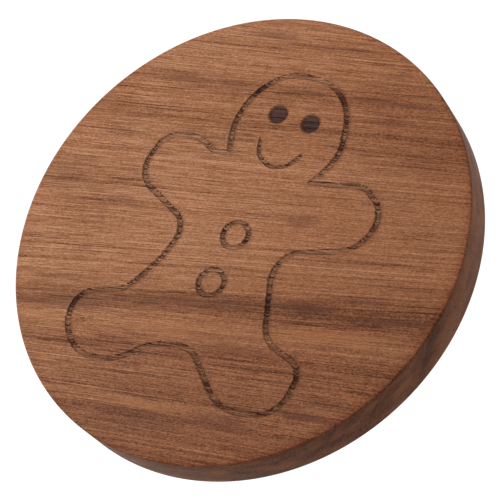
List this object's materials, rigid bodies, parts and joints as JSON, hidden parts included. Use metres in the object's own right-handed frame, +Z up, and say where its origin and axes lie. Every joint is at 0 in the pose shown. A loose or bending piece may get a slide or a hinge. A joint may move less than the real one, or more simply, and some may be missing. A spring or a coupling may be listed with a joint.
{
  "type": "round wooden coaster",
  "caption": "Round solid hardwood drink coaster with eased edges and a gingerbread man outline engraved in its top face",
  "frame": {"origin": "centre of the flat underside, on the surface that the coaster rests on", "axes": "+Z points up out of the engraved face, +Y points to the head of the engraved figure, +X to the viewer's right of it"},
  "size_m": [0.095, 0.095, 0.009],
  "materials": {
    "walnut": "oiled"
  },
  "bodies": {
    "root": {"disc": "walnut"}
  },
  "joints": []
}
